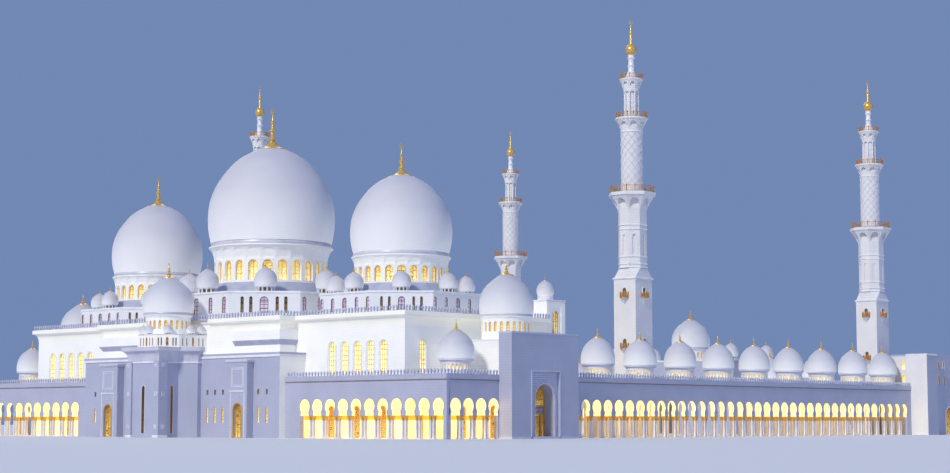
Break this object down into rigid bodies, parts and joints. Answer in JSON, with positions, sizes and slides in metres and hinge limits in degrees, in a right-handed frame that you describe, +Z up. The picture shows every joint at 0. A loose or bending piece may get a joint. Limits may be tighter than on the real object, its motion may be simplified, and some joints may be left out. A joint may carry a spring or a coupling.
{
  "type": "scale model of a domed mosque building with courtyard",
  "caption": "White marble mosque with great onion domes, a courtyard ringed by domed arcades and corner minarets, as a 1:10 scale model.",
  "frame": {"origin": "centre of the ground plan, at ground level", "axes": "+X from the niche wall to the courtyard gate, +Y to the north arcade, +Z up"},
  "size_m": [24.1, 18.8, 10.7],
  "materials": {
    "white_marble": "honed white marble cladding with fine courses",
    "dome_marble": "small white marble tiles laid in rings, matt",
    "roof_marble": "white marble roof and domes of the arcades",
    "gold_finial": "polished gilded metal",
    "gilded_lattice": "gilded lattice over lit glass",
    "gilded_door": "gilded door leaf with raised panels"
  },
  "bodies": {
    "building": {"east_court_wall": "white_marble", "east_front": "white_marble", "east_gate_hall": "white_marble", "east_roof": "roof_marble", "hall_east_wall": "white_marble", "hall_north_wall": "white_marble", "hall_roof": "white_marble", "hall_south_wall": "white_marble", "hall_west_wall": "white_marble", "main_dome": "dome_marble", "main_finial": "gold_finial", "main_terrace": "white_marble", "niche_dome": "dome_marble", "niche_finial": "gold_finial", "niche_upper_storey": "white_marble", "niche_wall": "white_marble", "north_arcade_court_wall": "white_marble", "north_arcade_outer_wall": "white_marble", "north_arcade_roof": "roof_marble", "north_dome": "dome_marble", "north_finial": "gold_finial", "north_gilded_screen": "gilded_lattice", "north_portal": "white_marble", "north_portal_dome": "dome_marble", "north_terrace": "white_marble", "northeast_hall_tower": "white_marble", "northeast_minaret": "white_marble", "northeast_minaret_finial": "gold_finial", "northeast_pavilion": "white_marble", "northwest_arcade_front_wall": "white_marble", "northwest_arcade_roof": "roof_marble", "northwest_arcade_side_wall": "white_marble", "northwest_minaret": "white_marble", "northwest_minaret_finial": "gold_finial", "south_arcade_court_wall": "white_marble", "south_arcade_outer_wall": "white_marble", "south_arcade_roof": "roof_marble", "south_dome": "dome_marble", "south_finial": "gold_finial", "south_gilded_screen": "gilded_lattice", "south_portal": "white_marble", "south_portal_dome": "dome_marble", "south_terrace": "white_marble", "southeast_hall_tower": "white_marble", "southeast_minaret": "white_marble", "southeast_minaret_finial": "gold_finial", "southeast_pavilion": "white_marble", "southwest_arcade_front_wall": "white_marble", "southwest_arcade_roof": "roof_marble", "southwest_arcade_side_wall": "white_marble", "southwest_minaret": "white_marble", "southwest_minaret_finial": "gold_finial", "west_front_roof": "white_marble", "west_front_wall_north": "white_marble", "west_front_wall_south": "white_marble"},
    "door_west_leaf": {"south_door_west": "gilded_door"},
    "door_east_leaf": {"south_door_east": "gilded_door"}
  },
  "joints": [
    {"name": "door_west_hinge", "type": "hinge", "parent": "building", "child": "door_west_leaf", "pos_m": [-8.07, -8.883, 0], "axis": [0, 0, 1], "range_deg": [0, 90]},
    {"name": "door_east_hinge", "type": "hinge", "parent": "building", "child": "door_east_leaf", "pos_m": [-7.73, -8.883, 0], "axis": [0, 0, -1], "range_deg": [0, 90]}
  ]
}
